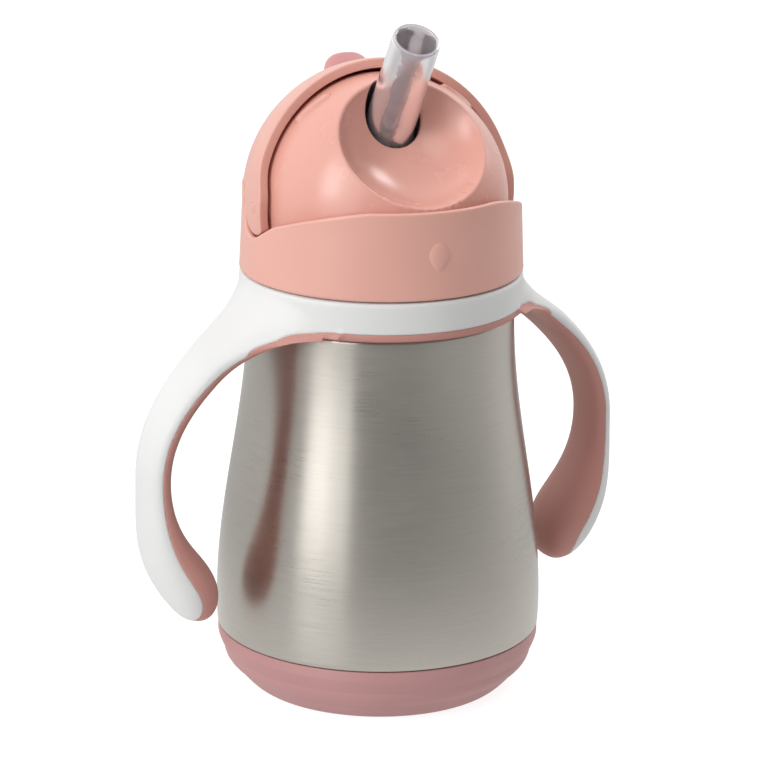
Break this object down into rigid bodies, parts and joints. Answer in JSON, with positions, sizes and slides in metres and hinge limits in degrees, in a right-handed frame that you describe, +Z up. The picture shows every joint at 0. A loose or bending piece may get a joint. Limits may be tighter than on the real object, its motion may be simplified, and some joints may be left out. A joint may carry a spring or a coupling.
{
  "type": "sippy cup",
  "caption": "Insulated steel toddler cup with a handle ring, screw lid, swinging hood over a folding silicone straw, and a weighted hose inside.",
  "frame": {"origin": "centre of the boot's flat underside, on the ground", "axes": "+Z up along the cup's axis, -Y to the front where the straw leans, X through the two hood pivots"},
  "size_m": [0.132, 0.082, 0.1713],
  "materials": {
    "brushed_steel": "fine brushing round the body, satin",
    "polished_steel": "polished inside, spot-welded sheet",
    "mauve_silicone": "satin mauve silicone",
    "white_plastic": "matt white moulded plastic",
    "soft_grip": "matt rose soft overmould",
    "satin_pink_plastic": "satin salmon-pink plastic",
    "gloss_pink_plastic": "glossy salmon-pink plastic",
    "clear_silicone": "translucent clear silicone",
    "natural_plastic": "uncoloured satin plastic"
  },
  "bodies": {
    "bottle": {"outer_shell": "brushed_steel", "inner_vessel": "polished_steel", "base_cup": "polished_steel", "getter_cup": "polished_steel", "base_boot": "mauve_silicone"},
    "handles": {"handle_frame": "white_plastic", "handle_soft_grip": "soft_grip"},
    "lid_seal": {"lid_gasket": "clear_silicone"},
    "lid": {"lid_skirt": "satin_pink_plastic", "lid_dome": "gloss_pink_plastic", "hood_pin_left": "natural_plastic", "hood_pin_right": "natural_plastic", "vent_valve": "clear_silicone", "straw_stem": "clear_silicone", "straw_elbow": "natural_plastic"},
    "hood": {"hood_shell": "satin_pink_plastic", "thumb_tab": "mauve_silicone"},
    "straw_tip": {"straw_mouthpiece": "clear_silicone"},
    "straw_weight": {"straw_hose": "clear_silicone", "weight_cap": "natural_plastic", "weight_base": "natural_plastic", "weight_slug": "polished_steel"}
  },
  "joints": [
    {"name": "handle_turn", "type": "hinge", "parent": "bottle", "child": "handles", "pos_m": [0, 0, 0.1], "axis": [0, 0, 1], "continuous": true},
    {"name": "lid_rise", "type": "slide", "parent": "bottle", "child": "lid_seal", "axis": [0, 0, 1], "range_m": [0, 0.004]},
    {"name": "lid_unscrew", "type": "hinge", "parent": "lid_seal", "child": "lid", "pos_m": [0, 0, 0.11], "axis": [0, 0, 1], "range_deg": [0, 450.5]},
    {"name": "hood_swing", "type": "hinge", "parent": "lid", "child": "hood", "pos_m": [0, 0, 0.125], "axis": [1, 0, 0], "range_deg": [0, 87]},
    {"name": "straw_fold", "type": "hinge", "parent": "lid", "child": "straw_tip", "pos_m": [0, -0.00773, 0.15008], "axis": [1, 0, 0], "range_deg": [0, 101], "deforming": ["straw_stem", "straw_mouthpiece"]},
    {"name": "weight_swing", "type": "hinge", "parent": "lid", "child": "straw_weight", "pos_m": [0, 0.0034, 0.1215], "axis": [1, 0, 0], "range_deg": [-10, 10]}
  ],
  "couplings": [
    {"joint": "lid_unscrew", "follows": "lid_rise", "rad_per_m": 1963.5},
    {"joint": "straw_fold", "follows": "hood_swing", "ratio": 1.15}
  ]
}
